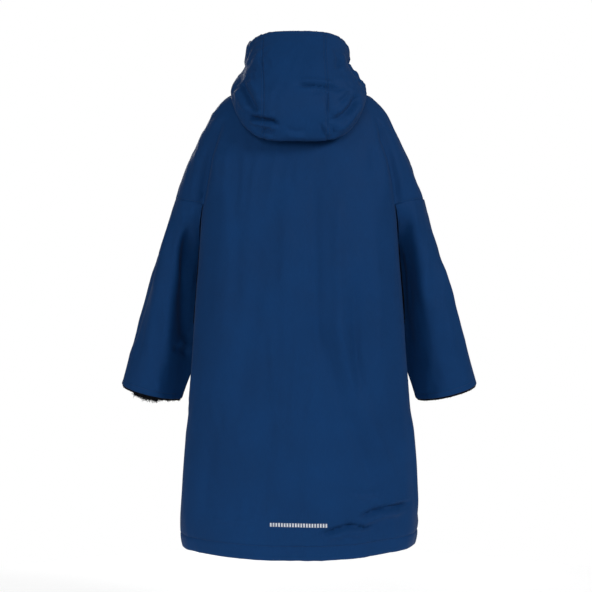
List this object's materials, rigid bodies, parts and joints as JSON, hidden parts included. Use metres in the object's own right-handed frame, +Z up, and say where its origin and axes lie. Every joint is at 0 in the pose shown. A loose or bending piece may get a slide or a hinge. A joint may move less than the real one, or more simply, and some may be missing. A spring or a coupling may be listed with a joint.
{
  "type": "changing robe",
  "caption": "Hooded changing robe, filled out as worn and hollow, with a lowered three-panel hood, dropped shoulders, wide hanging sleeves, fleece at hood and cuffs, and a closed front zip",
  "frame": {"origin": "middle of the neck opening, level with the side of the neck seam, where the wearer's neck and shoulders hold the robe", "axes": "+Z up, the wearer faces -Y, the wearer's left is +X"},
  "size_m": [0.898, 0.3574, 1.274],
  "materials": {
    "shell": "fine plain woven waterproof shell, navy, slight sheen",
    "fleece": "deep curly pile fleece, near black",
    "reflective": "silver-grey reflective print in plain bars",
    "zip_tape": "woven zip tape",
    "zip_plastic": "moulded, matte"
  },
  "bodies": {
    "robe": {"back": "shell", "front_left": "shell", "front_right": "shell", "sleeve_left": "shell", "sleeve_right": "shell", "hood_centre": "shell", "hood_side_left": "shell", "hood_side_right": "shell", "hood_lining": "fleece", "cuff_lining_left": "fleece", "cuff_lining_right": "fleece", "reflective_strip": "reflective", "zip_tape_left": "zip_tape", "zip_tape_right": "zip_tape", "zip_chain": "zip_plastic", "zip_slider": "zip_plastic"},
    "pull": {"zip_pull": "zip_plastic"}
  },
  "joints": [
    {"name": "pull_hinge", "type": "hinge", "parent": "robe", "child": "pull", "pos_m": [0, -0.09696, 0.02046], "axis": [-1, 0, 0], "range_deg": [-8, 150]}
  ]
}
